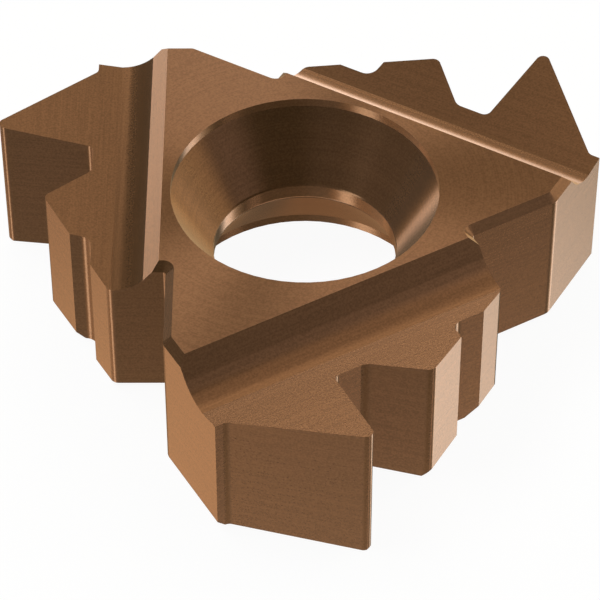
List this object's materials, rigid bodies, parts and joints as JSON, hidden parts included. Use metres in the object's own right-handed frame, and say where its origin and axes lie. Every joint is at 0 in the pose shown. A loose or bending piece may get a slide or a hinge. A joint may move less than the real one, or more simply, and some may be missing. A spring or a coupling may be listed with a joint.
{
  "type": "threading insert",
  "caption": "Triangular carbide threading insert with ground buttress-form teeth, a chip groove and a square notch at every corner, and a countersunk screw hole.",
  "frame": {"origin": "on the axis of the screw hole, at the seat face under the insert", "axes": "+Z along the hole, from the seat face up to the face with the chip grooves; +X along the near corner's chip groove towards its notch; -Y out over that corner's teeth"},
  "size_m": [0.0151, 0.0169, 0.0048],
  "materials": {
    "coated_carbide": "satin, a thin bronze-brown hard coating over pressed, sintered and ground tungsten carbide"
  },
  "bodies": {
    "root": {"insert_body": "coated_carbide"}
  },
  "joints": []
}
